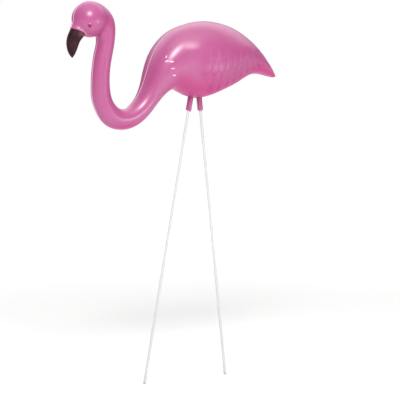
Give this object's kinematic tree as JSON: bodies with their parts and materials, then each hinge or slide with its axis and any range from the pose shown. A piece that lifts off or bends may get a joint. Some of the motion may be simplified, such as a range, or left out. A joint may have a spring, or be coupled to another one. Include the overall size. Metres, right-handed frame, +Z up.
{
  "type": "pink flamingo lawn ornament",
  "caption": "Moulded plastic flamingo with an S-bent neck, dark hooked beak and feathered wings, standing on a pair of thin splayed wire stakes.",
  "frame": {"origin": "on the ground, midway between the tips of the two wire legs", "axes": "+Z up, +X towards the tail, the beak at -X, +Y to the side"},
  "size_m": [0.2395, 0.0708, 0.3752],
  "materials": {
    "pink_plastic": "semi-gloss pink moulded plastic, with the beak painted dark brown",
    "white_wire": "smooth white painted steel wire"
  },
  "bodies": {
    "root": {"flamingo_body": "pink_plastic", "front_leg": "white_wire", "rear_leg": "white_wire"}
  },
  "joints": []
}
